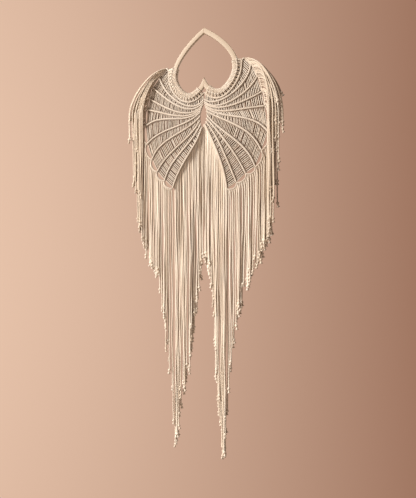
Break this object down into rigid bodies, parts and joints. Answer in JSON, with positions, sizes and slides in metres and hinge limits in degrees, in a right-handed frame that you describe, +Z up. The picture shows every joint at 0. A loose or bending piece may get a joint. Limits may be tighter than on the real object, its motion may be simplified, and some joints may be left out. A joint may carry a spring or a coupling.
{
  "type": "macrame wing wall hanging on a heart-shaped wooden hoop",
  "caption": "Knotted cotton wings with a long fringe, worked onto an upturned wooden heart hoop that hangs on a nail.",
  "frame": {"origin": "the inside of the heart hoop's upper tip, at mid thickness, where a nail carries the hanging", "axes": "+Z up, +X to the viewer's right, -Y out of the front, and the wall is on the +Y side"},
  "size_m": [0.492, 0.043, 1.236],
  "materials": {
    "wood": "bare sanded pale wood",
    "cotton": "natural undyed cotton cord"
  },
  "bodies": {
    "root": {"heart_frame": "wood", "right_heading": "cotton", "right_wing": "cotton", "right_shoulder_fringe": "cotton", "right_scallop_fringe": "cotton", "right_centre_fringe": "cotton", "left_heading": "cotton", "left_wing": "cotton", "left_shoulder_fringe": "cotton", "left_scallop_fringe": "cotton", "left_centre_fringe": "cotton"}
  },
  "joints": []
}
